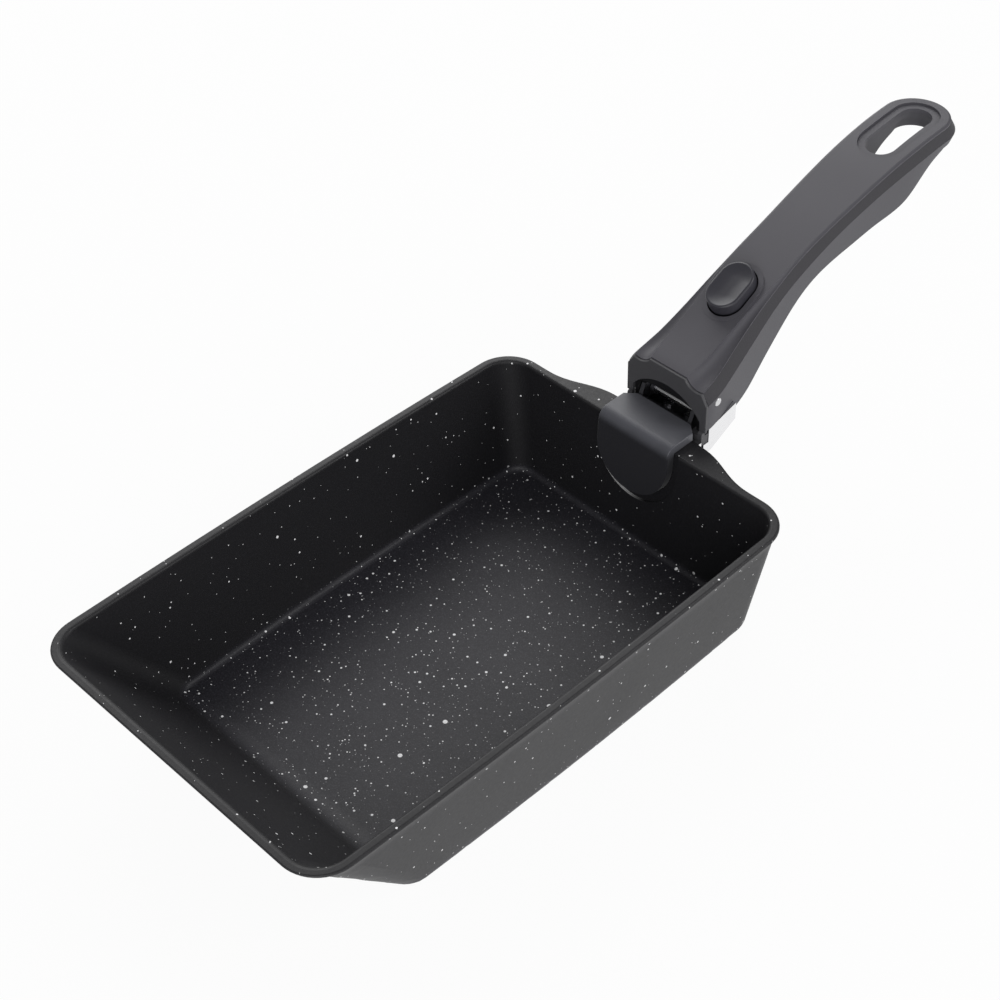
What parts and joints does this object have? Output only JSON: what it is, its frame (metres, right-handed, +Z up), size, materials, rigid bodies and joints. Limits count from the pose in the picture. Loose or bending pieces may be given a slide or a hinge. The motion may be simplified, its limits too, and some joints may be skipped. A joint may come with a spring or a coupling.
{
  "type": "tamagoyaki pan",
  "caption": "Rectangular egg-roll pan with a sloped far wall and a clip-on handle that clamps the rim with a squeeze lever, sliding jaw and release button.",
  "frame": {"origin": "centre of the steel plate in the pan's underside, on the face the pan stands on", "axes": "+Z up, +Y from the pan to the handle along the length, +X across the pan"},
  "size_m": [0.1346, 0.3583, 0.1085],
  "materials": {
    "coating": "dark speckled non-stick coating over cast aluminium, satin",
    "base_steel": "brushed in circles",
    "cover_plastic": "soft satin",
    "band_plastic": "fine grain",
    "shell_plastic": "fine grain",
    "bezel_plastic": "smooth satin",
    "liner_plastic": "gloss",
    "guard_steel": "bright polished stainless steel",
    "silicone": "satin",
    "sheet_steel": "pressed sheet",
    "pin_steel": "bright",
    "spring_steel": "drawn wire",
    "button_plastic": "satin gloss"
  },
  "bodies": {
    "pan": {"pan_body": "coating", "induction_plate": "base_steel"},
    "handle": {"handle_cover": "cover_plastic", "grip_band": "band_plastic", "handle_shell": "shell_plastic", "front_bezel": "bezel_plastic", "mouth_liner": "liner_plastic", "flame_guard": "guard_steel", "outer_pad": "silicone", "chassis": "sheet_steel", "guard_rivets": "guard_steel", "pivot_pin": "pin_steel", "shell_screws": "pin_steel", "latch_leaf": "spring_steel", "latch_screw": "pin_steel", "button_spring": "spring_steel", "lever_spring": "spring_steel"},
    "lever": {"lever_grip": "shell_plastic", "lever_bracket": "sheet_steel", "lever_screws": "pin_steel", "crank_pin": "pin_steel"},
    "jaw": {"clamp_jaw": "sheet_steel", "jaw_cover": "silicone", "guide_pin": "pin_steel"},
    "button": {"release_button": "button_plastic"}
  },
  "joints": [
    {"name": "lift_off", "type": "slide", "parent": "pan", "child": "handle", "axis": [0, 0, 1], "range_m": [0, 0.06]},
    {"name": "lever_hinge", "type": "hinge", "parent": "handle", "child": "lever", "pos_m": [0, 0.1022, 0.061], "axis": [-1, 0, 0], "range_deg": [0, 24], "deforming": ["lever_spring"]},
    {"name": "jaw_slide", "type": "slide", "parent": "handle", "child": "jaw", "axis": [0, -1, 0], "range_m": [0, 0.0036]},
    {"name": "button_press", "type": "slide", "parent": "handle", "child": "button", "axis": [0, 0.4226, -0.9063], "range_m": [0, 0.0025], "stiffness_N_per_m": 600, "springref_m": -0.001, "deforming": ["button_spring", "latch_leaf"]}
  ],
  "couplings": [
    {"joint": "jaw_slide", "follows": "lever_hinge", "m_per_rad": 0.008545}
  ]
}
